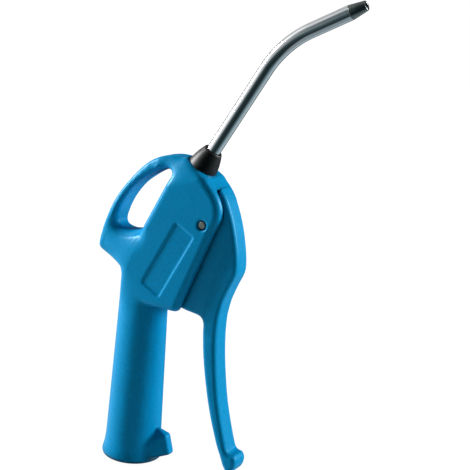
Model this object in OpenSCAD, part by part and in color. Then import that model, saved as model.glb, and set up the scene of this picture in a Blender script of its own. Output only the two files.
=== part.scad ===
// Hand-held air duster: a moulded body with a hanging eye, a lever between two cheeks,
// a spring-closed poppet valve and a bent steel nozzle held by a conical nut.
// Frame: origin at the centre of the air inlet's mouth, +Z up the handle, +X towards the lever.

/* [Handle] */
// Height of the handle, from its base to the underside of the head
handle_h = 97; // [92:0.5:112]
// Half depth of the handle under the head, front to back
handle_top_r = 15; // [14:0.1:17]
// Radius of the handle just above its flared rim
handle_base_r = 16.8; // [15.6:0.1:18]
// Radius of the rim at the handle's base
rim_r = 18.3; // [17.2:0.1:20]
// Radius of the rounding under the rim
rim_round = 2.6; // [1:0.1:3]
// Height over which the rim flares out
rim_h = 12; // [8:0.5:18]
// How far the lever stop reaches in front of the handle's axis
stop_reach = 27.2; // [25:0.1:28]
// Height of the lever stop's peak
stop_h = 21.5; // [18:0.5:26]
// Width of the lever stop's nose
stop_w = 6.5; // [5:0.1:9]

/* [Head] */
// How far the tail of the head stands behind the handle's axis
head_back = 30; // [29:0.5:34]
// How far the cheeks stand in front of the handle's axis
head_front = 51.5; // [50.5:0.5:56]
// Height of the head, from its underside to the nozzle seat's upper edge
head_h = 88.7; // [87:0.5:96]
// Thickness of the head across the cheeks
head_t = 24.5; // [23.5:0.1:28]
// Edge rounding of the head
head_round = 3.7; // [2.5:0.1:4.2]
// Thickness of the hanging eye's loop
loop_t = 16; // [12:0.1:19]
// Edge rounding of the loop
loop_round = 3; // [1.5:0.1:3.2]
// Flare of the hanging eye towards its sides
eye_flare = 3; // [1:0.1:3.5]
// Further flare at the lower end of the eye
eye_heel = 4.5; // [0:0.1:5]
// Length of the bare recessed panel
panel_l = 43.8; // [30:0.2:46]
// Width of the panel
panel_w = 14; // [8:0.2:15]
// Depth of the panel
panel_depth = 0.6; // [0.3:0.05:0.8]
// Corner radius of the panel
panel_r = 1.5; // [0.8:0.1:2.5]
// Tilt of the panel from the horizontal
panel_tilt = 63; // [55:0.5:65]

/* [Lever] */
// Width of the lever
lever_w = 13.5; // [12:0.1:13.7]
// Edge rounding of the lever
lever_round = 2.2; // [1:0.1:2.4]
// Side clearance between the lever and each cheek
slot_gap = 0.35; // [0.3:0.05:0.6]
// How far the lever hangs below the head
lever_drop = 87.3; // [80:0.5:90]
// How far the lever's foot stands in front of its neck
lever_sweep = 19.8; // [17:0.1:22]
// Angle of a full squeeze
squeeze = 15; // [10:0.5:15]
// Diameter of the pivot pin
pivot_d = 4.6; // [4:0.1:5]
// Diameter of the well around each end of the pivot pin
well_d = 6.4; // [5.6:0.1:8]
// Depth of that well
well_depth = 1.1; // [0.6:0.1:1.6]
// Radius of the lever's boss round the pivot
boss_r = 7.4; // [6:0.1:7.6]
// Radius of the cross pin that pushes the valve stem
thrust_r = 2.5; // [2:0.1:2.7]
// Length of that cross pin
thrust_l = 9; // [6:0.1:10]

/* [Valve] */
// Angle of the lever slot's back wall from the horizontal
valve_tilt = 64; // [62:0.5:66]
// Distance of the valve's axis below the pivot
valve_arm = 14; // [13.5:0.1:15]
// Distance from the pivot to the slot's back wall
slot_back = 8.2; // [8:0.1:8.6]
// Diameter of the valve's bore in the body
valve_bore_d = 13; // [12.6:0.1:13.6]
// Depth of the valve's bore behind the slot's back wall
valve_bore_l = 19.8; // [19.4:0.1:20.6]
// Diameter of the valve stem
stem_d = 4; // [3.4:0.1:4.2]
// Diameter of the stem's thin end
stem_tail_d = 2.8; // [2.2:0.1:3]
// Thickness of the O-rings' section
oring_t = 1.5; // [1.2:0.1:1.6]
// Wire diameter of the valve spring
spring_wire = 0.7; // [0.5:0.05:0.8]
// Number of turns of the valve spring
spring_turns = 3.5; // [2.5:0.5:4]
// Diameter of the duct from the handle to the valve
inlet_duct_d = 6.5; // [5:0.1:7]
// Diameter of the duct from the valve to the nozzle
outlet_duct_d = 4.2; // [3:0.1:4.4]

/* [Air inlet] */
// Bore of the inlet thread
inlet_bore_d = 11.44; // [10:0.02:12.4]
// Length of the threaded bore
inlet_bore_l = 12; // [10:0.5:14]
// Outer diameter of the metal inlet insert
insert_d = 17.2; // [16.4:0.1:19]
// Bore of the handle above the insert
handle_bore_d = 10; // [8:0.1:11]

/* [Nozzle] */
// Outer diameter of the nozzle tube
tube_d = 8; // [7:0.1:8.2]
// Bore of the nozzle tube
tube_bore_d = 5.6; // [4.6:0.1:5.8]
// Angle of the nozzle's lower straight from the horizontal
nozzle_tilt = 60; // [58:0.5:62]
// Angle of the bend
bend = 32; // [15:1:60]
// Radius of the bend, to the tube's axis
bend_r = 60; // [30:1:90]
// Length of the lower straight above the seat
lower_l = 66.4; // [40:0.5:100]
// Length of the upper straight, up to the tip
upper_l = 24; // [12:0.5:60]
// Length of the tapered tip
tip_l = 9; // [7:0.5:14]
// Diameter of the tip's end
tip_d = 5.4; // [4.6:0.1:6.5]
// Bore of the tip
tip_bore_d = 3; // [1.5:0.1:3.4]
// Height of the conical nut
nut_h = 11.3; // [10:0.2:14]
// Diameter of the nut's foot
nut_foot_d = 17; // [16:0.1:18]
// Diameter of the nut's top
nut_top_d = 10.5; // [10.1:0.1:12]

/* [Hidden] */
$fn = 72;

// Overrun of every cut past the face that it leaves
cut = 1;
// Clearances: a running fit, how far merged forms stay inside a flat side, a pressed or
// seated fit, and a seat that only just touches
run_gap = 0.04;
sink = 0.15;
fit_gap = 0.02;
seat_gap = 0.1;
blue = [0.02, 0.45, 0.75];
steel = [0.72, 0.73, 0.74];
brass = [0.78, 0.64, 0.34];
nickel = [0.76, 0.75, 0.70];
rubber = [0.08, 0.08, 0.09];
satin_black = [0.10, 0.10, 0.10];

// Outlines are lists of [x, z], counter-clockwise as seen from the -Y side
function unit(v) = v / norm(v);
function turned(v, a) = [v[0] * cos(a) - v[1] * sin(a), v[0] * sin(a) + v[1] * cos(a)];
function heading(a) = [cos(a), sin(a)];
function head_width() = head_back + head_front;
function head_point(share) = [share[0] * head_width() - head_back, handle_h + share[1] * head_h];
function head_points(shares) = [for (s = shares) head_point(s)];
function outward(a, b) = let (d = unit(b - a)) [d[1], -d[0]];
function corner_normal(pts, i) =
    let (n = len(pts),
         e = outward(pts[(i + n - 1) % n], pts[i]),
         f = outward(pts[i], pts[(i + 1) % n]))
    (e + f) / (1 + e * f);
function inset(pts, d) = [for (i = [0 : len(pts) - 1]) pts[i] - d * corner_normal(pts, i)];

// A smooth run through the points, with a few steps between each pair
function spline(a, b, c, d, t) =
    (2 * b + (c - a) * t + (2 * a - 5 * b + 4 * c - d) * t * t
     + (3 * b - a - 3 * c + d) * t * t * t) / 2;
function smooth_run(p, steps = 3) =
    let (last = len(p) - 1)
    concat([for (i = [0 : last - 1]) for (k = [0 : steps - 1])
                spline(p[max(i - 1, 0)], p[i], p[i + 1], p[min(i + 2, last)], k / steps)],
           [p[last]]);
function smooth_loop(p, steps = 3) =
    let (n = len(p))
    [for (i = [0 : n - 1]) for (k = [0 : steps - 1])
        spline(p[(i + n - 1) % n], p[i], p[(i + 1) % n], p[(i + 2) % n], k / steps)];

// An arc of radius r in the corner at p between a and b
function corner_arc(a, p, b, r, steps = 4) =
    let (u = unit(a - p),
         v = unit(b - p),
         half = acos(u * v) / 2,
         centre = p + unit(u + v) * r / sin(half),
         from = p + u * r / tan(half) - centre,
         to = p + v * r / tan(half) - centre,
         sweep = 180 - 2 * half)
    [for (k = [0 : steps]) centre + (sin(sweep * (1 - k / steps)) * from
                                     + sin(sweep * k / steps) * to) / sin(sweep)];
function arc(centre, r, from, to, steps) =
    [for (k = [0 : steps]) centre + r * heading(from + (to - from) * k / steps)];

// Skins rings of [x, z] points at the given y values into one closed solid
module skin(rings, ys) {
    n = len(rings[0]);
    m = len(rings);
    points = [for (j = [0 : m - 1]) for (p = rings[j]) [p[0], ys[j], p[1]]];
    sides = [for (j = [0 : m - 2]) for (i = [0 : n - 1]) for (half = [0, 1])
                half == 0
                ? [j * n + i, j * n + (i + 1) % n, (j + 1) * n + (i + 1) % n]
                : [j * n + i, (j + 1) * n + (i + 1) % n, (j + 1) * n + i]];
    front = [[for (i = [n - 1 : -1 : 0]) i]];
    back = [[for (i = [0 : n - 1]) (m - 1) * n + i]];
    polyhedron(points, concat(sides, front, back), convexity = 8);
}

// A slab of thickness t across Y with its outline's edges rounded to radius r
module slab(outline, t, r, steps = 3) {
    turns = [for (k = [0 : steps]) 90 * k / steps];
    ins = [for (a = turns) r * (1 - sin(a))];
    ys = [for (a = turns) t / 2 - r + r * cos(a)];
    skin(concat([for (k = [0 : steps]) inset(outline, ins[k])],
                [for (k = [steps : -1 : 0]) inset(outline, ins[k])]),
         concat([for (k = [0 : steps]) -ys[k]], [for (k = [steps : -1 : 0]) ys[k]]));
}

module flat_slab(outline, t) {
    rotate([90, 0, 0]) linear_extrude(height = t, center = true) polygon(outline);
}

// A round bar from a to b in the plane of symmetry
module duct(a, b, d) {
    along = b - a;
    translate([a[0], 0, a[1]])
        rotate([0, atan2(along[0], along[1]), 0])
            cylinder(h = norm(along), d = d);
}

module ring(outer_d, inner_d, h) {
    difference() {
        cylinder(h = h, d = outer_d);
        translate([0, 0, -cut]) cylinder(h = h + 2 * cut, d = inner_d);
    }
}

module oring(inner_d) {
    rotate_extrude() translate([(inner_d + oring_t) / 2, 0]) circle(d = oring_t, $fn = 32);
}

// Places in the head
pivot_share = [0.874, 0.605];
seat_share = [0.7636, 0.947];
panel_share = [0.625, 0.336];
pivot = head_point(pivot_share);
seat = head_point(seat_share);
seat_half = (nut_foot_d + 2 * fit_gap) / 2 + 1.1 * cut;
seat_along = [sin(nozzle_tilt), -cos(nozzle_tilt)];
along_slot = heading(valve_tilt);
into_head = heading(valve_tilt + 90);
function valve_point(across, deep) = pivot + across * along_slot + deep * into_head;

// Outline of the main part of the head, whose back edge is the eye's front wall
foot_round = head_round + 0.5 * cut;
cheek_shares = [[0.962, 0.574], [0.994, 0.64], [1, 0.691], [0.991, 0.738], [0.967, 0.784],
                [0.932, 0.827], [0.894, 0.863]];
eye_wall_shares = [[0.547, 0.804], [0.41, 0.547], [0.38, 0.49], [0.337, 0.417], [0.282, 0.327],
                   [0.245, 0.225], [0.233, 0.107]];
heel_share = [0.239, 0];
toe_share = [0.726, 0.004];
crown_share = [0.628, 0.956];
main_outline = concat(
    [head_point(heel_share)],
    corner_arc(head_point(heel_share), head_point(toe_share), head_point(cheek_shares[0]),
               foot_round),
    smooth_run(head_points(cheek_shares), 2),
    [seat + seat_half * seat_along, seat - seat_half * seat_along],
    [head_point(crown_share)],
    smooth_run(head_points(eye_wall_shares), 2));

// Outline of the plate that carries the loop and the tail
loop_core_shares = [[0.221, 0.096], [0.491, 0.163], [0.663, 0.592], [0.687, 0.93]];
loop_back_shares = [[0.663, 0.993], [0.589, 0.997], [0.497, 0.984], [0.405, 0.949],
                    [0.32, 0.89], [0.228, 0.798], [0.151, 0.707], [0.094, 0.618],
                    [0.054, 0.53], [0.023, 0.444], [0.002, 0.361]];
tail_share = [0, 0.301];
tail_under_shares = [[0.046, 0.284], [0.108, 0.27], [0.16, 0.244], [0.196, 0.196],
                     [0.213, 0.136]];
loop_outline = concat(
    head_points(loop_core_shares),
    smooth_run(head_points(loop_back_shares), 2),
    corner_arc(head_point(loop_back_shares[10]), head_point(tail_share),
               head_point(tail_under_shares[0]), loop_round * 1.1),
    smooth_run(head_points(tail_under_shares), 2));

// The hanging eye at mid thickness; its front runs under the edge of the head's main part
eye_shares = [[0.208, 0.461], [0.264, 0.46], [0.331, 0.477], [0.395, 0.508], [0.44, 0.56],
              [0.507, 0.682], [0.566, 0.79], [0.585, 0.855], [0.565, 0.888], [0.531, 0.903],
              [0.481, 0.889], [0.422, 0.863], [0.353, 0.819], [0.286, 0.768], [0.238, 0.717],
              [0.2, 0.666], [0.169, 0.612], [0.146, 0.556], [0.137, 0.513], [0.154, 0.478]];
eye_outline = smooth_loop(head_points(eye_shares), 2);
// The flare is left out along the front wall and is widest towards the tail
eye_front = heading(-26);
eye_down = heading(-117);
function eye_flare_at(normal, part, heel) =
    part * eye_flare * (1 - max(0, unit(normal) * eye_front))
    + heel * eye_heel * max(0, unit(normal) * eye_down);
function flared_eye(part, heel) =
    [for (i = [0 : len(eye_outline) - 1])
        let (m = corner_normal(eye_outline, i))
        eye_outline[i] + eye_flare_at(m, part, heel) * m];

// Its flare rounds out to the loop's side and then runs on as a funnel to the head's side
eye_turns = [0, 30, 55, 75];
eye_rim_heel_share = 0.55;
eye_far_flare_share = 0.8;
eye_far_heel_share = 1.3;
module eye_cutter() {
    parts = [for (a = eye_turns) 1 - cos(a)];
    ys = [for (a = eye_turns) loop_t / 2 - eye_flare * (1 - sin(a))];
    far = head_t / 2 + cut;
    steps = len(eye_turns) - 1;
    rings = [for (k = [0 : steps]) flared_eye(parts[k], parts[k] * eye_rim_heel_share)];
    last = flared_eye(eye_far_flare_share, eye_far_heel_share);
    skin(concat([last], [for (k = [steps : -1 : 0]) rings[k]], rings, [last]),
         concat([-far], [for (k = [steps : -1 : 0]) -ys[k]], ys, [far]));
}

// Thickens the tail towards the head
tail_point_shares = [[0.038, 0.324], [0.06, 0.445]];
root_point_shares = [[0.374, 0.417], [0.262, 0.24]];
module tail_fill() {
    hull() for (side = [-1, 1]) {
        for (s = tail_point_shares) {
            p = head_point(s);
            translate([p[0], side * (loop_t / 2 - loop_round - sink), p[1]])
                sphere(r = loop_round, $fn = 16);
        }
        for (s = root_point_shares) {
            p = head_point(s);
            translate([p[0], side * (head_t / 2 - head_round - sink), p[1]])
                sphere(r = head_round, $fn = 16);
        }
    }
}

// Leads the loop's top into the cheeks
crown_point_shares = [[0.4, 0.888], [0.44, 0.918]];
cheek_point_shares = [[0.66, 0.79], [0.69, 0.93], [0.645, 0.925]];
module crown_fill() {
    hull() for (side = [-1, 1]) {
        for (s = crown_point_shares) {
            p = head_point(s);
            translate([p[0], side * (loop_t / 2 - loop_round - sink), p[1]])
                sphere(r = loop_round, $fn = 16);
        }
        for (s = cheek_point_shares) {
            p = head_point(s);
            translate([p[0], side * (head_t / 2 - head_round - sink), p[1]])
                sphere(r = head_round, $fn = 16);
        }
    }
}

// The handle: round at the base, oval under the head, with its side faces flush
dome_h = head_h * 0.25;
function handle_r(z) = handle_top_r + (handle_base_r - handle_top_r) * max(0, 1 - z / handle_h);
flush_side = head_t / 2 - sink;
function handle_side(z) = flush_side + (handle_base_r - flush_side) * max(0, 1 - z / handle_h);
function rim_flare(z) = (rim_r - handle_base_r) * pow(max(0, 1 - max(0, z - rim_round) / rim_h), 2);
function rim_inset(z) = z < rim_round
    ? rim_round - sqrt(rim_round * rim_round - pow(rim_round - z, 2)) : 0;
function dome(z) = z < handle_h + dome_h / 2 ? 1 : 0.75;
function handle_ring(z) = [for (k = [0 : 47]) let (a = 360 * k / 48, grow = rim_flare(z) - rim_inset(z))
    [(handle_r(z) + grow) * dome(z) * cos(a), (handle_side(z) + grow) * dome(z) * sin(a), z]];
handle_rise_shares = [0.04, 0.08, 0.125, 0.25, 0.5, 0.75, 1];
handle_zs = concat([0, rim_round * 0.3, rim_round],
                   [for (s = handle_rise_shares) s * handle_h],
                   [handle_h + dome_h * 0.45, handle_h + dome_h]);
module handle_form() {
    rings = [for (z = handle_zs) handle_ring(z)];
    n = len(rings[0]);
    m = len(rings);
    points = [for (r = rings) for (p = r) p];
    sides = [for (j = [0 : m - 2]) for (i = [0 : n - 1]) for (half = [0, 1])
                half == 0
                ? [j * n + i, (j + 1) * n + (i + 1) % n, j * n + (i + 1) % n]
                : [j * n + i, (j + 1) * n + i, (j + 1) * n + (i + 1) % n]];
    polyhedron(points, concat(sides, [[for (i = [0 : n - 1]) i]],
                              [[for (i = [n - 1 : -1 : 0]) (m - 1) * n + i]]), convexity = 4);
}

// Leads the handle's back and sides into the cheeks
heel_from_share = 0.86;
heel_slice_share = 0.96;
heel_point_shares = [[0.28, 0.225], [0.287, 0.12], [0.4, 0.1]];
module heel_fill() {
    z = heel_from_share * handle_h;
    hull() {
        translate([0, 0, z]) linear_extrude(height = sink) scale(heel_slice_share)
            polygon([for (p = handle_ring(z)) [p[0], p[1]]]);
        for (side = [-1, 1]) for (s = heel_point_shares) {
            p = head_point(s);
            translate([p[0], side * (head_t / 2 - head_round - sink), p[1]])
                sphere(r = head_round, $fn = 16);
        }
    }
}

// The stop that the lever meets at a full squeeze
stop_nose_r = stop_w * 0.25;
stop_nose_y = stop_w / 2 - stop_nose_r;
stop_low_share = 0.39;
stop_top_share = 0.81;
stop_lean_share = 0.1;
module lever_stop() {
    hull() {
        for (side = [-1, 1]) {
            translate([stop_reach - stop_nose_r, side * stop_nose_y, stop_h * stop_low_share])
                sphere(r = stop_nose_r, $fn = 16);
            translate([stop_reach * (1 - stop_lean_share) - stop_nose_r, side * stop_nose_y,
                       stop_h * stop_top_share])
                sphere(r = stop_nose_r, $fn = 16);
        }
        translate([0, 0, rim_round * 0.8])
            cylinder(h = rim_round, r = rim_r - rim_round, $fn = 32);
        translate([handle_base_r, 0, stop_h - stop_nose_r]) sphere(r = stop_nose_r, $fn = 16);
    }
}

// The slot between the cheeks: under the nose, round the pivot and down to the handle
nose_share = [0.937, 0.828];
nose_dir = heading(48.5);
nose_edge = head_point(nose_share);
nose_depth = 6;
slot_foot_shares = [[0.577, -0.03], [0.577, 0.051], [0.519, 0.079], [0.499, 0.11]];
slot_w = lever_w + 2 * slot_gap;
slot_outline = concat(
    head_points(slot_foot_shares),
    [valve_point(boss_r, slot_back), nose_edge - nose_depth * nose_dir,
     nose_edge + head_width() * nose_dir,
     [head_width() * 2, nose_edge[1]],
     [head_width() * 2, handle_h * 0.9]]);

// Valve: every place is a depth measured from the pivot's line into the head
valve_end = slot_back + valve_bore_l;
land = 0.5;
groove_l = oring_t + 0.2;
gland_l = 1.2;
front_l = 2.2;
port_l = 3;
lip_h = 0.4;
cart_front = slot_back + 0.2;
groove_a = cart_front + front_l;
port_at = groove_a + groove_l + land;
groove_b = port_at + port_l + land;
cart_end = groove_b + groove_l + land;
lip_end = cart_end + lip_h;
cart_d = valve_bore_d - 2 * fit_gap;
groove_d = valve_bore_d - 2 * oring_t;
flow_d = stem_d + 1.8;
lip_wall = 0.7;
seal_pocket_d = stem_d + 2 * oring_t + 2 * run_gap;
seal_at = cart_front + gland_l + fit_gap;
seal_end = seal_at + oring_t + 2 * fit_gap;
stem_end_share = 0.86;
port_bore_d = 2.2;
inlet_at = valve_end - inlet_duct_d * 0.6;
duct_start_rise = head_h * 0.08;
bore_top = handle_h + head_h * 0.1;

module at_valve() {
    translate([pivot[0], 0, pivot[1]])
        rotate([0, -valve_tilt, 0])
            translate([-valve_arm, 0, 0]) children();
}

module at_nozzle() {
    translate([seat[0], 0, seat[1]]) rotate([0, 90 - nozzle_tilt, 0]) children();
}

// Nozzle adapter, moulded into the head under the seat
adapter_l = 14;
adapter_d = 13;
flange_d = 15;
flange_l = 1.2;
stud_d = 10;
stud_h = nut_h * 0.5;
socket_l = 9.5;
adapter_bore_d = tube_bore_d;
adapter_bottom = seat - adapter_l * heading(nozzle_tilt);
insert_l = inlet_bore_l + 3;
outlet_start = valve_point(-valve_arm, port_at + port_l / 2);

// Bores: inlet seat, air bore, ducts, valve bore, adapter seat, pivot hole and its wells
module body_cuts() {
    translate([0, 0, -cut]) cylinder(h = insert_l + cut, d = insert_d);
    cylinder(h = bore_top, d = handle_bore_d);
    duct([0, bore_top - inlet_duct_d / 2], valve_point(-valve_arm, inlet_at), inlet_duct_d);
    duct(outlet_start, adapter_bottom + cut * heading(nozzle_tilt), outlet_duct_d);
    at_valve() translate([0, 0, slot_back - cut])
        cylinder(h = valve_bore_l + cut, d = valve_bore_d);
    at_nozzle() translate([0, 0, -adapter_l]) cylinder(h = adapter_l + cut, d = adapter_d);
    at_nozzle() translate([0, 0, -flange_l]) cylinder(h = flange_l + cut, d = flange_d);
    translate([pivot[0], head_t, pivot[1]]) rotate([90, 0, 0])
        cylinder(h = 2 * head_t, d = pivot_d);
    for (side = [0, 1]) mirror([0, side, 0])
        translate([pivot[0], -head_t / 2 + well_depth, pivot[1]]) rotate([90, 0, 0])
            cylinder(h = well_depth + cut, d = well_d);
}

module panel_cut() {
    p = head_point(panel_share);
    l = panel_l / 2;
    w = panel_w / 2;
    corners = [[-l, -w], [l, -w], [l, w], [-l, w]];
    outline = [for (i = [0 : 3])
        each corner_arc(corners[(i + 3) % 4], corners[i], corners[(i + 1) % 4], panel_r)];
    translate([p[0], -head_t / 2 - cut, p[1]]) rotate([-90, 0, 0])
        linear_extrude(height = panel_depth + cut)
            polygon([for (c = outline) let (q = turned(c, panel_tilt)) [q[0], -q[1]]]);
}

// The moulded skin, joined as one mesh at its own size
module body_form() {
    resize([0, 0, 0]) difference() {
        union() {
            slab(main_outline, head_t, head_round);
            difference() {
                union() {
                    slab(loop_outline, loop_t, loop_round);
                    tail_fill();
                    crown_fill();
                }
                eye_cutter();
            }
            handle_form();
            heel_fill();
            lever_stop();
        }
        flat_slab(slot_outline, slot_w);
        for (side = [0, 1]) mirror([0, side, 0]) panel_cut();
    }
}

module body() {
    color(blue) difference() {
        body_form();
        body_cuts();
    }
}

insert_groove_at = insert_l - 3 * oring_t;
insert_collar = 0.8;
module inlet_insert() {
    color(nickel) difference() {
        union() {
            cylinder(h = insert_groove_at, d = insert_d - 2 * fit_gap);
            cylinder(h = insert_l - fit_gap, d = insert_d - 2 * oring_t);
            translate([0, 0, insert_groove_at + groove_l])
                cylinder(h = insert_l - fit_gap - insert_groove_at - groove_l,
                         d = insert_d - 2 * fit_gap);
        }
        translate([0, 0, -cut]) cylinder(h = inlet_bore_l + cut, d = inlet_bore_d);
        cylinder(h = insert_l + cut, d = handle_bore_d - 2 * insert_collar);
    }
}

module insert_oring() {
    color(rubber) translate([0, 0, insert_groove_at + groove_l / 2])
        oring(insert_d - 2 * oring_t - 2 * fit_gap + 2 * fit_gap);
}

pin_chamfer = 0.5;
pin_recess = 0.3;
pin_half = head_t / 2 - pin_recess;
module pivot_pin() {
    r = pivot_d / 2 - fit_gap;
    color(steel) translate([pivot[0], 0, pivot[1]]) rotate([90, 0, 0]) rotate_extrude()
        polygon([[0, -pin_half], [r - pin_chamfer, -pin_half], [r, pin_chamfer - pin_half],
                 [r, pin_half - pin_chamfer], [r - pin_chamfer, pin_half], [0, pin_half]]);
}

// The lever: its upper part follows the head, its lower part its own drop and sweep
neck_share = 1.022;
neck_x = neck_share * head_width() - head_back;
function lever_point(share) = [neck_x + share[0] * lever_sweep, handle_h - share[1] * lever_drop];
function lever_points(shares) = [for (s = shares) lever_point(s)];
lever_front_low_shares = [[0.641, 0.83], [0.485, 0.723], [0.293, 0.566], [0.157, 0.407],
                          [0.056, 0.246], [0.01, 0.109]];
lever_front_top_shares = [[1.025, 0], [1.031, 0.045], [1.05, 0.13], [1.091, 0.231],
                          [1.121, 0.293], [1.134, 0.338], [1.133, 0.383], [1.124, 0.448],
                          [1.098, 0.558], [1.061, 0.665], [1.01, 0.77], [0.977, 0.816]];
web_foot_shares = [[0.702, 0.028], [0.758, 0.016], [0.84, 0.007], [0.881, -0.003],
                   [0.902, -0.026], [0.909, -0.06]];
lever_back_shares = [[-0.466, 0.082], [-0.416, 0.202], [-0.332, 0.321], [-0.223, 0.439],
                     [-0.097, 0.556], [0.055, 0.671], [0.237, 0.786], [0.332, 0.842]];
lever_foot_shares = [[0.46, 0.9], [0.54, 0.943], [0.626, 0.977], [0.732, 0.999],
                     [0.848, 0.995], [0.949, 0.968], [1, 0.934], [0.985, 0.899],
                     [0.904, 0.874], [0.798, 0.871], [0.702, 0.858]];
top_gap = 0.25;
top_len = 5.2;
top_drop = 0.6;
top_normal = turned(nose_dir, -90);
top_edge = nose_edge + top_gap * top_normal;
web_slope = tan(squeeze);
web_stand = 5;
function web_back(below) = valve_point(-below, web_stand - web_slope * below);
web_end_share = 0.56;
web_len = head_h * web_end_share;
lever_outline = concat(
    smooth_run(concat(head_points(web_foot_shares), lever_points(lever_back_shares),
                      lever_points(lever_foot_shares), lever_points(lever_front_low_shares),
                      head_points(lever_front_top_shares)), 2),
    [top_edge + 0.35 * top_len * nose_dir, top_edge - 0.85 * top_len * nose_dir],
    arc(pivot, boss_r, 104, 196, 7),
    [web_back(valve_arm), web_back(web_len)]);

module lever() {
    color(blue) difference() {
        resize([0, 0, 0]) difference() {
            slab(lever_outline, lever_w, lever_round, 2);
            lever_channel();
        }
        translate([pivot[0], lever_w, pivot[1]]) rotate([90, 0, 0])
            cylinder(h = 2 * lever_w, d = pivot_d + 2 * run_gap);
        at_valve() rotate([90, 0, 0])
            cylinder(h = thrust_l + 2 * fit_gap, r = thrust_r + fit_gap, center = true);
    }
}

// A moulding core down the back of the lever, open towards the handle
channel_w = lever_w * 0.5;
channel_skin = 3.4;
channel_shares = [[-0.404, 0.202], [-0.318, 0.321], [-0.207, 0.439], [-0.081, 0.556],
                  [0.071, 0.671], [0.162, 0.73]];
channel_front_shares = [[0.36, 0.67], [0.293, 0.566], [0.157, 0.407], [0.056, 0.246]];
module lever_channel() {
    back = [for (p = lever_points(channel_shares)) p - [channel_skin, 0]];
    front = [for (p = lever_points(channel_front_shares)) p - [channel_skin, 0]];
    flat_slab(concat(smooth_run(back, 2), smooth_run(front, 2)), channel_w);
}

module thrust_pin() {
    color(steel) at_valve() rotate([90, 0, 0]) cylinder(h = thrust_l, r = thrust_r, center = true);
}

// Spool in the valve's bore: grooves for two O-rings, side ports, and a lip that the poppet closes
spanner_d = 1.4;
spanner_at = (stem_d + 2 * oring_t + valve_bore_d) / 4;
module valve_cartridge() {
    r = cart_d / 2;
    g = groove_d / 2;
    lip_in = flow_d / 2;
    color(brass) at_valve() difference() {
        rotate_extrude() polygon([
            [seal_pocket_d / 2, cart_front], [r, cart_front], [r, groove_a], [g, groove_a],
            [g, groove_a + groove_l], [r, groove_a + groove_l], [r, port_at], [g, port_at],
            [g, port_at + port_l], [r, port_at + port_l], [r, groove_b], [g, groove_b],
            [g, groove_b + groove_l], [r, groove_b + groove_l], [r, cart_end],
            [lip_in + lip_wall, cart_end], [lip_in + lip_wall, lip_end], [lip_in, lip_end],
            [lip_in, port_at], [stem_d / 2 + run_gap, port_at],
            [stem_d / 2 + run_gap, seal_end], [seal_pocket_d / 2, seal_end]]);
        for (a = [0, 90, 180, 270]) rotate([0, 0, a])
            translate([lip_in - land, 0, port_at + port_l / 2]) rotate([0, 90, 0])
                cylinder(h = r, d = port_bore_d, $fn = 24);
        for (a = [90, 270]) rotate([0, 0, a])
            translate([spanner_at + land, 0, cart_front - cut])
                cylinder(h = 2 * cut, d = spanner_d, $fn = 24);
    }
}

module cartridge_oring_front() {
    color(rubber) at_valve() translate([0, 0, groove_a + groove_l / 2]) oring(groove_d);
}

module cartridge_oring_rear() {
    color(rubber) at_valve() translate([0, 0, groove_b + groove_l / 2]) oring(groove_d);
}

module stem_seal() {
    color(rubber) at_valve() translate([0, 0, (seal_at + seal_end) / 2])
        oring(stem_d + 2 * run_gap);
}

module seal_gland() {
    color(brass) at_valve() translate([0, 0, cart_front])
        ring(seal_pocket_d - 2 * fit_gap, stem_d + 2 * run_gap, gland_l);
}

// Stem: its head meets the cross pin, its tail carries the poppet and the nut
stem_face = thrust_r + seat_gap;
seal_disc_l = 1.3;
cup_l = 1.1;
cup_wall = 0.6;
nut_l = 1.3;
disc_at = lip_end + fit_gap;
cup_at = disc_at + seal_disc_l;
nut_at = cup_at + cup_l;
stem_shoulder = port_at + land;
stem_end = nut_at + nut_l + land / 2;
disc_d = flow_d + 2 * lip_wall + 1.2;
cup_d = disc_d + 2 * cup_wall;
stem_chamfer = 0.4;
module valve_stem() {
    r = stem_d / 2;
    t = stem_tail_d / 2;
    color(steel) at_valve() rotate_extrude()
        polygon([[0, stem_face], [r - stem_chamfer, stem_face], [r, stem_face + stem_chamfer],
                 [r, stem_shoulder], [t, stem_shoulder + r - t], [t, stem_end - stem_chamfer],
                 [t - stem_chamfer, stem_end], [0, stem_end]]);
}

module poppet_seal() {
    color(rubber) at_valve() translate([0, 0, disc_at])
        ring(disc_d - 2 * fit_gap, stem_tail_d + 2 * fit_gap, seal_disc_l);
}

module poppet() {
    o = cup_d / 2;
    i = disc_d / 2;
    b = stem_tail_d / 2 + fit_gap;
    rim_at = disc_at + seal_disc_l * 0.4;
    color(brass) at_valve() rotate_extrude()
        polygon([[b, cup_at], [i, cup_at], [i, rim_at], [o, rim_at], [o, nut_at], [b, nut_at]]);
}

hex_d = 4.8;
module poppet_nut() {
    color(steel) at_valve() translate([0, 0, nut_at]) difference() {
        cylinder(h = nut_l, d = hex_d, $fn = 6);
        translate([0, 0, -cut]) cylinder(h = nut_l + 2 * cut, d = stem_tail_d + 2 * fit_gap);
    }
}

seat_disc_l = 0.8;
module spring_seat() {
    color(brass) at_valve() translate([0, 0, valve_end - seat_disc_l - fit_gap])
        ring(valve_bore_d - 4 * seat_gap, inlet_duct_d * 0.6, seat_disc_l);
}

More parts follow.
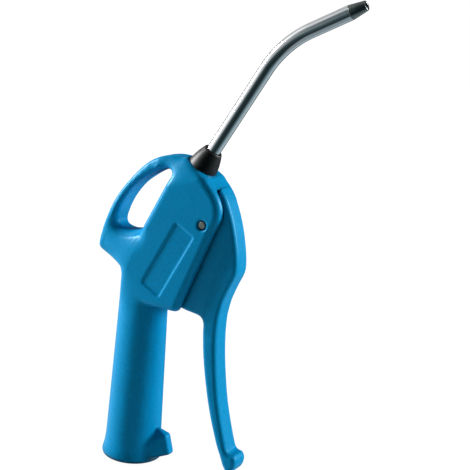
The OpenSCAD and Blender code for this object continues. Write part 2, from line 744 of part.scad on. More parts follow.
// The spring between the poppet and its seat, as a six-sided wire along a helix
spring_r = hex_d / 2 + spring_wire;
spring_from = nut_at + spring_wire / 2 + seat_gap;
spring_to = valve_end - seat_disc_l - fit_gap - spring_wire / 2 - seat_gap;
coil_steps = 12;
wire_sides = 6;
module valve_spring() {
    rings = coil_steps * spring_turns;
    points = [for (j = [0 : rings]) for (k = [0 : wire_sides - 1])
        let (a = 360 * j / coil_steps,
             w = 360 * k / wire_sides,
             r = spring_r + spring_wire / 2 * cos(w))
        [r * cos(a), r * sin(a),
         spring_from + (spring_to - spring_from) * j / rings + spring_wire / 2 * sin(w)]];
    sides = [for (j = [0 : rings - 1]) for (k = [0 : wire_sides - 1])
        let (a = j * wire_sides + k, b = j * wire_sides + (k + 1) % wire_sides)
        for (half = [0, 1]) half == 0
            ? [a, b, b + wire_sides] : [a, b + wire_sides, a + wire_sides]];
    first = [[for (k = [wire_sides - 1 : -1 : 0]) k]];
    last = [[for (k = [0 : wire_sides - 1]) rings * wire_sides + k]];
    color(steel) at_valve() polyhedron(points, concat(sides, first, last), convexity = 8);
}

// Adapter: flanged bush with a stud for the nut and a socket for the tube
adapter_groove_at = adapter_l * 0.45;
module nozzle_adapter() {
    color(nickel) at_nozzle() difference() {
        union() {
            translate([0, 0, -adapter_l]) cylinder(h = adapter_l, d = adapter_d - 2 * oring_t);
            translate([0, 0, -adapter_groove_at])
                cylinder(h = adapter_groove_at, d = adapter_d - 2 * fit_gap);
            translate([0, 0, -adapter_l])
                cylinder(h = adapter_l - adapter_groove_at - groove_l,
                         d = adapter_d - 2 * fit_gap);
            translate([0, 0, -flange_l + fit_gap])
                cylinder(h = flange_l - 2 * fit_gap, d = flange_d - 2 * fit_gap);
            cylinder(h = stud_h, d = stud_d);
        }
        translate([0, 0, -adapter_l - cut])
            cylinder(h = adapter_l + stud_h + 2 * cut, d = adapter_bore_d);
        translate([0, 0, stud_h - socket_l])
            cylinder(h = socket_l + cut, d = tube_d + 2 * run_gap);
    }
}

module adapter_oring() {
    color(rubber) at_nozzle() translate([0, 0, -adapter_groove_at - groove_l / 2])
        oring(adapter_d - 2 * oring_t);
}

// Brass ring that the nut presses onto the tube
ferrule_l = nut_h * 0.22;
ferrule_wall = 0.9;
ferrule_edge = 0.1;
ferrule_at = stud_h + run_gap;
module ferrule() {
    i = tube_d / 2 + fit_gap;
    o = i + ferrule_wall;
    color(brass) at_nozzle() rotate_extrude()
        polygon([[i, ferrule_at], [o, ferrule_at], [o, ferrule_at + ferrule_l * 0.4],
                 [i + ferrule_edge, ferrule_at + ferrule_l], [i, ferrule_at + ferrule_l]]);
}

// Conical nut with slightly bulged sides
nut_bulge = 0.45;
nut_edge = 0.4;
nut_mouth = 0.65;
nut_mouth_l = 1.1;
nut_rise_shares = [0.04, 0.2, 0.4, 0.6, 0.8, 0.97];
module collar_nut() {
    foot = nut_foot_d / 2;
    top = nut_top_d / 2;
    side = [for (s = nut_rise_shares)
        [foot + (top - foot) * s + nut_bulge * sin(180 * s), nut_h * s]];
    bore = stud_d / 2 + run_gap;
    cone_at = ferrule_at + ferrule_l * 0.4 + seat_gap;
    cone_end = ferrule_at + ferrule_l + 3 * seat_gap;
    neck = tube_d / 2 + run_gap;
    color(satin_black) at_nozzle() rotate_extrude()
        polygon(concat([[bore, fit_gap], [foot - nut_edge, fit_gap]], side,
                       [[top - nut_edge, nut_h], [neck + nut_mouth, nut_h],
                        [neck, nut_h - nut_mouth_l], [neck, cone_end],
                        [bore, cone_at]]));
}

// The tube lies along the adapter's axis, then bends towards +X
module at_upper() {
    at_nozzle() translate([bend_r * (1 - cos(bend)), 0, lower_l + bend_r * sin(bend)])
        rotate([0, bend, 0]) children();
}

tube_from = stud_h - socket_l + seat_gap;
// The wall of the bend is drawn a little thinner than the straights, which lap over its ends
tube_lap = 0.3;
module nozzle_tube() {
    color(steel) {
        at_nozzle() translate([0, 0, tube_from])
            ring(tube_d, tube_bore_d, lower_l - tube_from + tube_lap);
        at_nozzle() translate([bend_r, 0, lower_l]) rotate([90, 0, 0]) rotate([0, 0, 180 - bend])
            rotate_extrude(angle = bend) translate([bend_r, 0]) difference() {
                circle(d = tube_d - 2 * fit_gap);
                circle(d = tube_bore_d + 2 * fit_gap);
            }
        at_upper() translate([0, 0, -tube_lap]) ring(tube_d, tube_bore_d, upper_l + tube_lap);
    }
}

// Tapered tip with a spigot pressed into the tube
spigot_l = tip_l * 0.6;
tip_edge = 0.3;
module nozzle_tip() {
    spigot = tube_bore_d / 2 - fit_gap;
    base = tube_d / 2;
    end = tip_d / 2;
    bore = tip_bore_d / 2;
    color([0.45, 0.47, 0.48]) at_upper() translate([0, 0, upper_l]) rotate_extrude()
        polygon([[bore, -spigot_l], [spigot, -spigot_l], [spigot, fit_gap], [base, fit_gap],
                 [end, tip_l - tip_edge], [end - tip_edge, tip_l], [bore, tip_l]]);
}

body();
inlet_insert();
insert_oring();
pivot_pin();
lever();
thrust_pin();
valve_cartridge();
cartridge_oring_front();
cartridge_oring_rear();
stem_seal();
seal_gland();
valve_stem();
poppet();
poppet_seal();
poppet_nut();
valve_spring();
spring_seat();
nozzle_adapter();
adapter_oring();
ferrule();
collar_nut();
nozzle_tube();
nozzle_tip();
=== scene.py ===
# Dressed view of the hand-held air duster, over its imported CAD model.
import math

import bpy
import numpy as np
from mathutils import Matrix, Vector


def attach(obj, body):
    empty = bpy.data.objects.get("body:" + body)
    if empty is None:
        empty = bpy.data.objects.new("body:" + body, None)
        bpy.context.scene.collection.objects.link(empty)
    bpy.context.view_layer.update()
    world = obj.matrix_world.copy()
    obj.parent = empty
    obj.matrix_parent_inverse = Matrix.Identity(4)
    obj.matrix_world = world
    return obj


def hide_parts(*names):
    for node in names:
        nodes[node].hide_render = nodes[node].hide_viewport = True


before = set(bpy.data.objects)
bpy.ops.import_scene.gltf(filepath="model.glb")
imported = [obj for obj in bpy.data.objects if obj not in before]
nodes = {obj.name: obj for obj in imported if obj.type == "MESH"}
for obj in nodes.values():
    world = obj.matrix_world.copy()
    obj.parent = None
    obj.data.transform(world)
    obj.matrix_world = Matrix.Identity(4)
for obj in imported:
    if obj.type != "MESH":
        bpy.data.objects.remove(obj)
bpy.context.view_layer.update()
MM = 0.001

# Sizes that follow the CAD model's, in millimetres, and angles in radians
HEAD_BACK = 30.0
HEAD_FRONT = 51.5
HANDLE_H = 97.0
HEAD_H = 88.7
SEAT_SHARE = (0.7636, 0.947)
NOZZLE_TILT = math.radians(60)
BEND = math.radians(32)
BEND_R = 60.0
LOWER_L = 66.4
UPPER_L = 24.0
TUBE_FROM = -3.75
TUBE_R = 4.0
TUBE_BORE_R = 2.8
TIP_PLUG_R = 2.78
TIP_PLUG_L = 5.4
TIP_BASE_R = 3.99
TIP_L = 9.0
TIP_BORE_R = 1.5
NUT_H = 11.3
NUT_FOOT_R = 8.5
NUT_TOP_R = 5.25
NUT_BULGE = 0.45
NUT_UNDER = -0.35
NUT_THREAD_R = 5.05
NUT_BORE_R = 4.05

# Steps and sides of the finer skins
LOWER_STEPS = 12
BEND_STEPS = 28
UPPER_STEPS = 5
TUBE_SIDES = 72
LATHE_SIDES = 96
CORNER_STEPS = 3
SHARP_ANGLE = math.radians(38)

# Smoothing of the moulded skins. An amount below zero swells back what the one before shrank.
FINE_IN = 0.6
FINE_OUT = -0.61
SIDE_TURNS = 500
SIDE_AMOUNT = 0.8
SIDE_CLEAR = 0.6
FLOW_TURNS = 120
FLOW_LAST_TURNS = 20
CORNER_TURNS = 240
FLOW_IN = 0.5
FLOW_OUT = -0.503
FLOW_CLEAR = 2.5
NUT_SEAT_R = 8.6
BOX_MARGIN = 0.01
KEPT_FACES = 0.35

# The photograph's direction, in degrees from +X towards -Y, and the camera's place and axes
VIEW_ANGLE = 62
LENS = 86.03
CAMERA_PLACE = (0.33968, -0.53340, 0.28587)
CAMERA_RIGHT = (0.8691, 0.4861, 0.0917)
CAMERA_BACK = (0.4574, -0.8603, 0.2250)


def head_point(sx, sz):
    return Vector((sx * (HEAD_BACK + HEAD_FRONT) - HEAD_BACK, 0.0, HANDLE_H + sz * HEAD_H))


seat = head_point(*SEAT_SHARE)
nozzle_axis = Vector((math.cos(NOZZLE_TILT), 0.0, math.sin(NOZZLE_TILT)))
nozzle_side = Vector((math.sin(NOZZLE_TILT), 0.0, -math.cos(NOZZLE_TILT)))
upper_tilt = NOZZLE_TILT - BEND
upper_axis = Vector((math.cos(upper_tilt), 0.0, math.sin(upper_tilt)))
upper_side = Vector((math.sin(upper_tilt), 0.0, -math.cos(upper_tilt)))
bend_centre = seat + nozzle_axis * LOWER_L + nozzle_side * BEND_R
bend_end = bend_centre - upper_side * BEND_R
tube_end = bend_end + upper_axis * UPPER_L


# Mesh helpers
def new_object(name, mesh):
    obj = bpy.data.objects.new(name, mesh)
    bpy.context.scene.collection.objects.link(obj)
    return obj


def mesh_from(name, verts, faces, uvs=None):
    mesh = bpy.data.meshes.new(name)
    mesh.from_pydata([tuple(c * MM for c in v) for v in verts], [], faces)
    if uvs is not None:
        layer = mesh.uv_layers.new(name="UVMap")
        for loop in mesh.loops:
            layer.data[loop.index].uv = uvs[loop.vertex_index]
    mesh.shade_smooth()
    mesh.update()
    return mesh


def rings_object(name, rings, heights):
    """Joins rings of points, and the last ring to the first. The heights become the map's rows."""
    count = len(rings[0])
    verts = [p for ring in rings for p in ring]
    uvs = [(height, i / count) for height in heights for i in range(count)]
    faces = []
    for j in range(len(rings)):
        k = (j + 1) % len(rings)
        for i in range(count):
            n = (i + 1) % count
            faces.append((j * count + i, j * count + n, k * count + n, k * count + i))
    obj = new_object(name, mesh_from(name, verts, faces, uvs))
    obj.data.set_sharp_from_angle(angle=SHARP_ANGLE)
    return obj


def lathe(name, origin, axis, side, profile):
    """Turns a closed profile of (radius, height) about the axis."""
    across = axis.cross(side)
    rings = []
    for r, h in profile:
        ring = []
        for i in range(LATHE_SIDES):
            a = 2 * math.pi * i / LATHE_SIDES
            ring.append(origin + axis * h + (side * math.cos(a) + across * math.sin(a)) * r)
        rings.append(ring)
    return rings_object(name, rings, [h for r, h in profile])


def rounded(profile, radii):
    """Rounds the corners of a closed profile, each by its own radius."""
    out = []
    n = len(profile)
    for i in range(n):
        p = Vector(profile[i])
        u = Vector(profile[i - 1]) - p
        v = Vector(profile[(i + 1) % n]) - p
        if radii[i] == 0:
            out.append(tuple(p))
            continue
        reach = min(radii[i], 0.45 * u.length, 0.45 * v.length)
        start = p + u.normalized() * reach
        end = p + v.normalized() * reach
        for k in range(CORNER_STEPS + 1):
            t = k / CORNER_STEPS
            out.append(tuple(start * (1 - t) ** 2 + p * 2 * t * (1 - t) + end * t ** 2))
    return out


def apply_modifiers(obj):
    """Makes the object's modifiers part of its mesh."""
    graph = bpy.context.evaluated_depsgraph_get()
    mesh = bpy.data.meshes.new_from_object(obj.evaluated_get(graph))
    obj.modifiers.clear()
    obj.data = mesh


def softened(node, name, voxel, fine, blends=(), side_blends=(), corner_blends=()):
    """A copy of a CAD node with moulded edges: remeshed, then smoothed, most of all at the blends.

    A blend is (centre, reach) or (centre, reach, share) in millimetres. A side blend evens out
    only how far the two sides stand out, and keeps the outline.
    """
    mesh = nodes[node].data.copy()
    mesh.materials.clear()
    obj = new_object(name, mesh)
    remesh = obj.modifiers.new("Remesh", "REMESH")
    remesh.mode = "VOXEL"
    remesh.voxel_size = voxel * MM
    remesh.use_smooth_shade = True
    apply_modifiers(obj)
    mesh = obj.data
    count = len(mesh.vertices)
    co = np.empty(count * 3)
    mesh.vertices.foreach_get("co", co)
    co = co.reshape(-1, 3) / MM
    corners = np.array([list(v.co) for v in nodes[node].data.vertices]) / MM
    edges = np.empty(len(mesh.edges) * 2, dtype=np.int64)
    mesh.edges.foreach_get("vertices", edges)
    edges = edges.reshape(-1, 2)
    degree = np.bincount(edges.ravel(), minlength=count).astype(float)
    degree[degree == 0] = 1

    def step(points, amount, columns=(0, 1, 2)):
        """Moves each point by a share of the way to the middle of its neighbours."""
        moved = points.copy()
        for c in columns:
            total = np.bincount(edges[:, 0], points[edges[:, 1], c], count)
            total += np.bincount(edges[:, 1], points[edges[:, 0], c], count)
            moved[:, c] += amount * (total / degree - points[:, c])
        return moved

    def weights(places, clear):
        """How much each point takes part: 1 at the places' centres, 0 beyond their reach."""
        out = np.zeros(count)
        for centre, reach, *share in places:
            d = np.sqrt((((co - np.array(centre)) / np.array(reach)) ** 2).sum(axis=1))
            w = np.clip(1.3 * (1 - d), 0, 1)
            out = np.maximum(out, w * w * (3 - 2 * w) * (share[0] if share else 1))
        # The seat under the nut stays flat
        away = np.linalg.norm(np.cross(co - np.array(seat), np.array(nozzle_axis)), axis=1)
        return out * np.clip((away - NUT_SEAT_R) / clear, 0, 1)

    for _ in range(fine):
        co = step(co, FINE_IN)
        co = step(co, FINE_OUT)
    if side_blends:
        weight = weights(side_blends, SIDE_CLEAR)
        for _ in range(SIDE_TURNS):
            co = step(co, SIDE_AMOUNT * weight, (1,))
    if blends:
        weight = weights(blends, FLOW_CLEAR)
        for _ in range(FLOW_TURNS):
            co = step(co, FLOW_IN * weight)
            co = step(co, FLOW_OUT * weight)
        for _ in range(FLOW_LAST_TURNS):
            co = step(co, FLOW_IN * weight)
    if corner_blends:
        weight = weights(corner_blends, FLOW_CLEAR)
        for _ in range(CORNER_TURNS):
            co = step(co, FLOW_IN * weight)
    co = np.clip(co, corners.min(axis=0) + BOX_MARGIN, corners.max(axis=0) - BOX_MARGIN)
    mesh.vertices.foreach_set("co", (co * MM).ravel())
    mesh.update()
    thin = obj.modifiers.new("Decimate", "DECIMATE")
    thin.ratio = KEPT_FACES
    apply_modifiers(obj)
    obj.data.shade_smooth()
    return obj


# Material helpers
def linear(r, g, b):
    """A colour for a shader from one written with numbers up to 255."""
    out = []
    for c in (r / 255, g / 255, b / 255):
        out.append(c / 12.92 if c <= 0.04045 else ((c + 0.055) / 1.055) ** 2.4)
    return (*out, 1.0)


def grey(v):
    return (v, v, v, 1.0)


def tint(v):
    return (v * 0.65, v * 1.05, v * 1.15, 1.0)


def pale(v):
    return (v * 0.85, v * 1.03, v * 1.1, 1.0)


def material(name):
    mat = bpy.data.materials.new(name)
    mat.use_nodes = True
    tree = mat.node_tree
    tree.nodes.clear()
    out = tree.nodes.new("ShaderNodeOutputMaterial")
    shader = tree.nodes.new("ShaderNodeBsdfPrincipled")
    tree.links.new(shader.outputs["BSDF"], out.inputs["Surface"])
    return mat, tree, shader


def coordinates(tree, kind):
    return tree.nodes.new("ShaderNodeTexCoord").outputs[kind]


def noise(tree, coord, scale, detail, stretch=None):
    node = tree.nodes.new("ShaderNodeTexNoise")
    node.inputs["Scale"].default_value = scale
    node.inputs["Detail"].default_value = detail
    if stretch:
        mapping = tree.nodes.new("ShaderNodeMapping")
        mapping.inputs["Scale"].default_value = stretch
        tree.links.new(coord, mapping.inputs["Vector"])
        coord = mapping.outputs["Vector"]
    tree.links.new(coord, node.inputs["Vector"])
    return node.outputs["Fac"]


def ramp(tree, value, stops):
    node = tree.nodes.new("ShaderNodeValToRGB")
    elements = node.color_ramp.elements
    elements[0].position = stops[0][0]
    elements[0].color = stops[0][1]
    elements[1].position = stops[-1][0]
    elements[1].color = stops[-1][1]
    for place, colour in stops[1:-1]:
        elements.new(place).color = colour
    tree.links.new(value, node.inputs["Fac"])
    return node.outputs["Color"]


def spread(tree, value, low, high, start=0.3, end=0.7):
    """Turns a value that runs from start to end into one that runs from low to high."""
    node = tree.nodes.new("ShaderNodeMapRange")
    node.inputs["From Min"].default_value = start
    node.inputs["From Max"].default_value = end
    node.inputs["To Min"].default_value = low
    node.inputs["To Max"].default_value = high
    tree.links.new(value, node.inputs["Value"])
    return node.outputs["Result"]


def maths(tree, kind, first, second, clamp=False):
    node = tree.nodes.new("ShaderNodeMath")
    node.operation = kind
    node.use_clamp = clamp
    tree.links.new(first, node.inputs[0])
    tree.links.new(second, node.inputs[1])
    return node.outputs["Value"]


def bump(tree, shader, heights):
    """Adds bumps in turn: (height, distance in millimetres, strength)."""
    normal = None
    for height, distance, strength in heights:
        node = tree.nodes.new("ShaderNodeBump")
        node.inputs["Distance"].default_value = distance * MM
        node.inputs["Strength"].default_value = strength
        tree.links.new(height, node.inputs["Height"])
        if normal is not None:
            tree.links.new(normal, node.inputs["Normal"])
        normal = node.outputs["Normal"]
    tree.links.new(normal, shader.inputs["Normal"])


def mixed(tree, factor, a, b, kind="MIX"):
    node = tree.nodes.new("ShaderNodeMix")
    node.data_type = "RGBA"
    node.blend_type = kind
    for socket, value in (("Factor", factor), ("A", a), ("B", b)):
        slots = [s for s in node.inputs if s.name == socket and s.enabled]
        if isinstance(value, (float, int, tuple)):
            slots[0].default_value = value
        else:
            tree.links.new(value, slots[0])
    return [s for s in node.outputs if s.enabled][0]


def mixed_shaders(tree, factor, first, second):
    node = tree.nodes.new("ShaderNodeMixShader")
    tree.links.new(factor, node.inputs["Fac"])
    tree.links.new(first, node.inputs[1])
    tree.links.new(second, node.inputs[2])
    return node.outputs["Shader"]


# Materials
def moulded_plastic():
    mat, tree, shader = material("moulded_blue")
    coord = coordinates(tree, "Object")
    cloud = noise(tree, coord, scale=60, detail=2)
    speck = noise(tree, coord, scale=900, detail=2)
    tone = ramp(tree, cloud, [(0.3, linear(0, 144, 200)), (0.7, linear(0, 150, 209))])
    spot = ramp(tree, speck, [(0.3, linear(0, 133, 184)), (0.7, linear(0, 161, 226))])
    colour = mixed(tree, 0.5, tone, spot)
    edges = tree.nodes.new("ShaderNodeNewGeometry").outputs["Pointiness"]
    wear = ramp(tree, edges, [(0.5, grey(0)), (0.56, grey(1))])
    worn = mixed(tree, wear, colour, linear(8, 154, 218))
    # Painted shade: the base colour is darkened in the hollows and between parts, where ambient
    # occlusion finds them
    hollow_occlusion = tree.nodes.new("ShaderNodeAmbientOcclusion")
    hollow_occlusion.inputs["Distance"].default_value = 15 * MM
    painted_shade = ramp(tree, hollow_occlusion.outputs["AO"], [(0.3, grey(0.2)), (0.88, grey(1.0))])
    tree.links.new(mixed(tree, 1.0, worn, painted_shade, "MULTIPLY"), shader.inputs["Base Color"])
    dull = noise(tree, coord, scale=400, detail=3)
    tree.links.new(spread(tree, dull, 0.28, 0.38), shader.inputs["Roughness"])
    shader.inputs["IOR"].default_value = 1.5
    shader.inputs["Specular IOR Level"].default_value = 0.2
    shader.inputs["Specular Tint"].default_value = (0.2, 0.8, 1.0, 1.0)
    bump(tree, shader, [
        (noise(tree, coord, scale=1400, detail=3), 0.05, 0.5),
        (noise(tree, coord, scale=500, detail=2), 0.06, 0.35),
    ])
    return mat


def chromed_tube():
    mat, tree, shader = material("plated_tube")
    coord = coordinates(tree, "UV")
    drawn = noise(tree, coord, scale=1.0, detail=2, stretch=(0.15, 90, 1))
    dull = noise(tree, coord, scale=1.0, detail=3, stretch=(2.0, 6, 1))
    shader.inputs["Metallic"].default_value = 1.0
    colour = ramp(tree, drawn, [(0.3, linear(196, 200, 204)), (0.7, linear(222, 225, 228))])
    tree.links.new(colour, shader.inputs["Base Color"])
    tree.links.new(spread(tree, dull, 0.06, 0.14), shader.inputs["Roughness"])
    bump(tree, shader, [(drawn, 0.02, 0.1)])
    return mat


def turned_metal(name, low, high, rough):
    """Turned metal with fine rings along the piece's axis."""
    mat, tree, shader = material(name)
    coord = coordinates(tree, "UV")
    rings = noise(tree, coord, scale=1.0, detail=3, stretch=(14, 0.6, 1))
    stain = noise(tree, coord, scale=1.0, detail=3, stretch=(1.2, 5, 1))
    shader.inputs["Metallic"].default_value = 1.0
    colour = mixed(tree, spread(tree, stain, 0.0, 1.0), linear(*low), linear(*high))
    tree.links.new(colour, shader.inputs["Base Color"])
    tree.links.new(spread(tree, rings, rough - 0.06, rough + 0.08), shader.inputs["Roughness"])
    bump(tree, shader, [(rings, 0.03, 0.5)])
    return mat


def plain_metal(name, low, high, rough):
    """Metal for the CAD nodes, which carry no UV map."""
    mat, tree, shader = material(name)
    coord = coordinates(tree, "Object")
    stain = noise(tree, coord, scale=500, detail=4)
    shader.inputs["Metallic"].default_value = 1.0
    colour = mixed(tree, spread(tree, stain, 0.0, 1.0), linear(*low), linear(*high))
    tree.links.new(colour, shader.inputs["Base Color"])
    tree.links.new(spread(tree, stain, rough - 0.05, rough + 0.1), shader.inputs["Roughness"])
    bump(tree, shader, [(noise(tree, coord, scale=3000, detail=2), 0.02, 0.4)])
    return mat


def satin_black():
    mat, tree, shader = material("satin_black")
    coord = coordinates(tree, "Object")
    fine = noise(tree, coord, scale=1500, detail=3)
    cloud = noise(tree, coord, scale=150, detail=3)
    colour = ramp(tree, cloud, [(0.3, linear(5, 8, 8)), (0.7, linear(12, 14, 13))])
    edges = tree.nodes.new("ShaderNodeNewGeometry").outputs["Pointiness"]
    wear = ramp(tree, edges, [(0.54, grey(0)), (0.62, grey(0.7))])
    tree.links.new(mixed(tree, wear, colour, linear(46, 44, 40)), shader.inputs["Base Color"])
    tree.links.new(spread(tree, cloud, 0.38, 0.48), shader.inputs["Roughness"])
    shader.inputs["Specular IOR Level"].default_value = 0.55
    bump(tree, shader, [(fine, 0.015, 0.12)])
    return mat


def seal_rubber():
    mat, tree, shader = material("seal_rubber")
    coord = coordinates(tree, "Object")
    cloud = noise(tree, coord, scale=700, detail=3)
    colour = ramp(tree, cloud, [(0.3, linear(18, 18, 19)), (0.7, linear(30, 30, 31))])
    tree.links.new(colour, shader.inputs["Base Color"])
    tree.links.new(spread(tree, cloud, 0.5, 0.65), shader.inputs["Roughness"])
    bump(tree, shader, [(noise(tree, coord, scale=2500, detail=2), 0.02, 0.4)])
    return mat


def paint(obj, mat):
    obj.data.materials.clear()
    obj.data.materials.append(mat)


# Moulded body and lever
def both_sides(places):
    """Each place and its mirror image on the other side of the middle plane."""
    out = []
    for (x, y, z), reach in places:
        out.append(((x, -y, z), reach))
        out.append(((x, y, z), reach))
    return out


plastic = moulded_plastic()
# Under the eye, where the head meets the handle, at the crown and at the stop
body_blends = both_sides([
    ((-14, 8, 107), (12, 12, 14)),
    ((-2, 12, 100), (14, 8, 12)),
    ((-14, 9, 137), (13, 7, 10)),
    ((18, 10, 181), (14, 11, 12)),
    ((16, 8, 10), (9, 9, 12)),
])
body_side_blends = both_sides([
    ((22, 12, 181), (16, 14, 13)),
    ((-10, 10, 136), (18, 14, 12)),
])
body_side_blends += [
    ((-5, 0, 103), (16, 20, 17)),
    ((-14, 0, 124), (14, 20, 12)),
    ((-14, 0, 136), (13, 20, 8)),
]
# The loop's outer edge is rounder than the rest
LOOP_REACH = (6.5, 20, 6.5)
LOOP_SHARE = 0.08
loop_edge = [
    (10.5, 184.3), (3, 181.2), (-3.9, 175.9), (-8, 172), (-11.4, 167.8), (-15, 164),
    (-17.7, 159.7), (-20.5, 156), (-22.3, 151.8), (-24.5, 148), (-25.6, 144), (-27.5, 140),
    (-28.1, 136.4), (-29.5, 132),
]
body_side_blends += [((x, 0, z), LOOP_REACH, LOOP_SHARE) for x, z in loop_edge]
body_corner_blends = both_sides([((23, 13, 185), (12, 10, 9))])
body_shell = softened(
    "body", "body_shell", voxel=0.5, fine=6, blends=body_blends, side_blends=body_side_blends,
    corner_blends=body_corner_blends)
paint(body_shell, plastic)
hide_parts("body")
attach(body_shell, "housing")

lever_shell = softened("lever", "lever_shell", voxel=0.45, fine=12)
paint(lever_shell, plastic)
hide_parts("lever")
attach(lever_shell, "lever")


# Nozzle tube, as places with the side direction and the length up to there
def tube_path():
    path = []
    for k in range(LOWER_STEPS + 1):
        h = TUBE_FROM + (LOWER_L - TUBE_FROM) * k / LOWER_STEPS
        path.append((seat + nozzle_axis * h, nozzle_side, h))
    for k in range(1, BEND_STEPS + 1):
        a = BEND * k / BEND_STEPS
        side = nozzle_side * math.cos(a) - nozzle_axis * math.sin(a)
        path.append((bend_centre - side * BEND_R, side, LOWER_L + BEND_R * a))
    for k in range(1, UPPER_STEPS + 1):
        h = UPPER_L * k / UPPER_STEPS
        path.append((bend_end + upper_axis * h, upper_side, LOWER_L + BEND_R * BEND + h))
    return path


def tube_ring(centre, side, radius):
    across = Vector((0, 1, 0))
    ring = []
    for i in range(TUBE_SIDES):
        a = 2 * math.pi * i / TUBE_SIDES
        ring.append(centre + (side * math.cos(a) + across * math.sin(a)) * radius)
    return ring


path = tube_path()
outer = [tube_ring(c, s, TUBE_R) for c, s, h in path]
inner = [tube_ring(c, s, TUBE_BORE_R) for c, s, h in reversed(path)]
lengths = [h for c, s, h in path]
tube_skin = rings_object("nozzle_tube_skin", outer + inner, lengths + lengths[::-1])
paint(tube_skin, chromed_tube())
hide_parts("nozzle_tube")
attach(tube_skin, "nozzle")

# Nozzle tip, as points with the radius that rounds each
tip_corners = [
    ((TIP_PLUG_R, -TIP_PLUG_L), 0.2), ((TIP_PLUG_R, 0.02), 0.0), ((TIP_BASE_R, 0.02), 0.25),
    ((2.7, TIP_L - 0.3), 0.35), ((2.4, TIP_L), 0.2), ((TIP_BORE_R, TIP_L), 0.35),
    ((TIP_BORE_R, -TIP_PLUG_L), 0.2),
]
tip_profile = rounded([point for point, r in tip_corners], [r for point, r in tip_corners])
tip_skin = lathe("nozzle_tip_skin", tube_end, upper_axis, upper_side, tip_profile)
paint(tip_skin, turned_metal("turned_tip", (112, 120, 120), (142, 148, 146), rough=0.24))
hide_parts("nozzle_tip")
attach(tip_skin, "nozzle")

# Conical nut, with a slightly full side
nut_side = []
for s in (0.06, 0.12, 0.2, 0.3, 0.4, 0.5, 0.6, 0.7, 0.8, 0.88, 0.94):
    r = NUT_FOOT_R + (NUT_TOP_R - NUT_FOOT_R) * s + NUT_BULGE * math.sin(math.pi * s)
    nut_side.append((r, NUT_H * s))
nut_foot = [(NUT_THREAD_R, NUT_UNDER), (NUT_FOOT_R, NUT_UNDER), (NUT_FOOT_R + 0.02, 0.1)]
nut_top = [(NUT_TOP_R + 0.12, NUT_H - 0.25), (NUT_TOP_R - 0.1, NUT_H - 0.05),
           (NUT_TOP_R - 0.35, NUT_H)]
nut_inside = [(4.69, NUT_H), (4.6, NUT_H - 0.12), (4.1, NUT_H - 1.0), (NUT_BORE_R, NUT_H - 1.2),
              (NUT_BORE_R, 8.0), (NUT_THREAD_R, 6.5)]
nut_profile = nut_foot + nut_side + nut_top + nut_inside
nut_skin = lathe("collar_nut_skin", seat, nozzle_axis, nozzle_side, nut_profile)
paint(nut_skin, satin_black())
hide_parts("collar_nut")
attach(nut_skin, "housing")

# CAD nodes that stay, with their materials
steel = plain_metal("pin_steel", (98, 108, 102), (130, 141, 134), rough=0.38)
nickel = plain_metal("nickel_brass", (176, 172, 160), (196, 192, 182), rough=0.28)
brass = plain_metal("turned_brass", (190, 158, 92), (206, 176, 112), rough=0.3)
rubber = seal_rubber()
for mat, names in (
        (steel, ("pivot_pin", "thrust_pin", "valve_stem", "poppet_nut", "valve_spring")),
        (nickel, ("inlet_insert", "nozzle_adapter")),
        (brass, ("valve_cartridge", "seal_gland", "poppet", "spring_seat", "ferrule")),
        (rubber, ("insert_oring", "cartridge_oring_front", "cartridge_oring_rear", "stem_seal",
                  "poppet_seal", "adapter_oring"))):
    for name in names:
        paint(nodes[name], mat)


# Floor: white to the camera, with a plain share near the object that takes its shadow
def white_floor():
    mat = bpy.data.materials.new("floor_white")
    mat.use_nodes = True
    tree = mat.node_tree
    tree.nodes.clear()
    out = tree.nodes.new("ShaderNodeOutputMaterial")
    diffuse = tree.nodes.new("ShaderNodeBsdfDiffuse")
    diffuse.inputs["Color"].default_value = grey(0.6)
    glow = tree.nodes.new("ShaderNodeEmission")
    glow.inputs["Color"].default_value = grey(1.0)
    glow.inputs["Strength"].default_value = 1.1
    rays = tree.nodes.new("ShaderNodeLightPath").outputs
    seen = maths(tree, "ADD", rays["Is Camera Ray"], rays["Is Glossy Ray"])
    seen = maths(tree, "ADD", seen, rays["Is Transmission Ray"], clamp=True)
    away = tree.nodes.new("ShaderNodeVectorMath")
    away.operation = "LENGTH"
    tree.links.new(coordinates(tree, "Object"), away.inputs[0])
    share = spread(tree, away.outputs["Value"], 0.88, 1.0, start=0.25, end=0.7)
    factor = maths(tree, "MULTIPLY", seen, share)
    blend = mixed_shaders(tree, factor, diffuse.outputs["BSDF"], glow.outputs["Emission"])
    tree.links.new(blend, out.inputs["Surface"])
    return mat


FLOOR_HALF = 3000
FLOOR_Z = -0.2
floor_corners = [(x * FLOOR_HALF, y * FLOOR_HALF, FLOOR_Z)
                 for x, y in ((-1, -1), (1, -1), (1, 1), (-1, 1))]
floor = new_object("floor", mesh_from("floor", floor_corners, [(0, 1, 2, 3)]))
floor.data.materials.append(white_floor())
floor.visible_glossy = False


# World: a bright studio, darker on the side that the photograph is taken from
def at(degrees):
    """A ramp's place for an angle from the photograph's direction."""
    return 0.5 + degrees / 360


world = bpy.data.worlds.new("studio")
bpy.context.scene.world = world
world.use_nodes = True
tree = world.node_tree
tree.nodes.clear()
out = tree.nodes.new("ShaderNodeOutputWorld")
coord = coordinates(tree, "Generated")
turn = tree.nodes.new("ShaderNodeMapping")
# Turned so that the dark side's middle lies at the gradient's half
turn.inputs["Rotation"].default_value = (0, 0, math.radians(VIEW_ANGLE))
tree.links.new(coord, turn.inputs["Vector"])
radial = tree.nodes.new("ShaderNodeTexGradient")
radial.gradient_type = "RADIAL"
tree.links.new(turn.outputs["Vector"], radial.inputs["Vector"])
parts = tree.nodes.new("ShaderNodeSeparateXYZ")
tree.links.new(coord, parts.inputs["Vector"])
rise = parts.outputs["Z"]
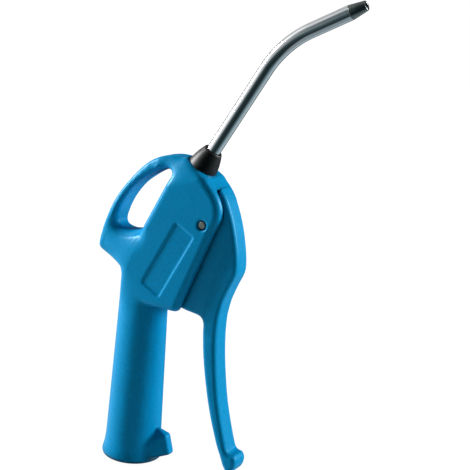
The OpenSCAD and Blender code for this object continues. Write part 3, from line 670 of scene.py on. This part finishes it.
# The bright side leans over the set
lean = spread(tree, rise, 0.0, 0.065, start=-0.05, end=0.45)
around = maths(tree, "ADD", radial.outputs["Fac"], lean)
left_side = [
    (at(-180), tint(0.03)), (at(-155), tint(0.08)), (at(-136), grey(0.75)), (at(-106), grey(0.8)),
    (at(-92), grey(1.35)), (at(-78), grey(1.35)), (at(-69), grey(0.95)), (at(-58), grey(0.5)),
    (at(-48), tint(0.14)), (at(-36), tint(0.05)), (at(-8), tint(0.025)), (at(18), tint(0.045))]
level_sides = ramp(tree, around, left_side + [
    (at(60), tint(0.12)), (at(100), tint(0.16)), (at(150), tint(0.06)), (at(180), tint(0.03))])
low_sides = ramp(tree, around, left_side + [
    (at(50), tint(0.27)), (at(90), pale(0.53)), (at(112), pale(0.62)), (at(134), pale(0.68)),
    (at(146), tint(0.08)), (at(180), tint(0.03))])
deep_sides = ramp(tree, around, left_side + [
    (at(50), tint(0.27)), (at(90), pale(0.53)), (at(150), pale(0.7)), (at(168), pale(0.45)),
    (at(180), tint(0.03))])
# The ceiling and the ground are dimmer. Each layer takes over from the one before between two rises.
studio = level_sides
for layer, start, end in (
        (low_sides, -0.42, -0.56), (deep_sides, -0.58, -0.7), (grey(0.2), 0.57, 0.72),
        (pale(0.36), -0.83, -0.93)):
    studio = mixed(tree, spread(tree, rise, 0.0, 1.0, start, end), studio, layer)

# It lights the object weakly, shows fully in its gloss, and is white to the camera
WORLD_DIFFUSE = 0.068
rays = tree.nodes.new("ShaderNodeLightPath").outputs
shade = tree.nodes.new("ShaderNodeBackground")
tree.links.new(studio, shade.inputs["Color"])
strength = spread(tree, rays["Is Glossy Ray"], WORLD_DIFFUSE, 1.0, start=0.0, end=1.0)
tree.links.new(strength, shade.inputs["Strength"])
white = tree.nodes.new("ShaderNodeBackground")
white.inputs["Color"].default_value = grey(1.0)
blend = mixed_shaders(
    tree, rays["Is Camera Ray"], shade.outputs["Background"], white.outputs["Background"])
tree.links.new(blend, out.inputs["Surface"])


# Lamps
LAMP_AIM = (0.03, 0, 0.13)


def softbox(name, place, size, power):
    light = bpy.data.lights.new(name, "AREA")
    light.shape = "RECTANGLE"
    light.size = size[0]
    light.size_y = size[1]
    light.energy = power
    obj = bpy.data.objects.new(name, light)
    bpy.context.scene.collection.objects.link(obj)
    obj.location = place
    back = (Vector(place) - Vector(LAMP_AIM)).normalized()
    obj.rotation_euler = back.to_track_quat("Z", "Y").to_euler()


def beside(degrees, distance, height):
    """A place at an angle from the photograph's direction, to the right where positive."""
    a = math.radians(degrees - VIEW_ANGLE)
    return (LAMP_AIM[0] + distance * math.cos(a), distance * math.sin(a), height)


LAMP_DISTANCE = 1.0
LAMP_HEIGHT = 0.45
softbox("left_box", beside(-106, LAMP_DISTANCE, LAMP_HEIGHT), size=(0.25, 0.5), power=17)
softbox("right_box", beside(98, LAMP_DISTANCE, LAMP_HEIGHT), size=(0.25, 0.5), power=12.5)
softbox("top_box", (0.0, 0.1, 1.1), size=(0.8, 0.8), power=1)

# Camera, at the photograph's place and angle
camera_data = bpy.data.cameras.new("camera")
camera_data.sensor_width = 36
camera_data.sensor_fit = "HORIZONTAL"
camera_data.lens = LENS
camera_data.clip_start = 0.01
camera = bpy.data.objects.new("camera", camera_data)
bpy.context.scene.collection.objects.link(camera)
back = Vector(CAMERA_BACK).normalized()
up = back.cross(Vector(CAMERA_RIGHT)).normalized()
right = up.cross(back).normalized()
turned = Matrix((right, up, back)).transposed().to_4x4()
camera.matrix_world = Matrix.Translation(CAMERA_PLACE) @ turned
bpy.context.scene.camera = camera
bpy.context.scene.view_settings.view_transform = "Standard"
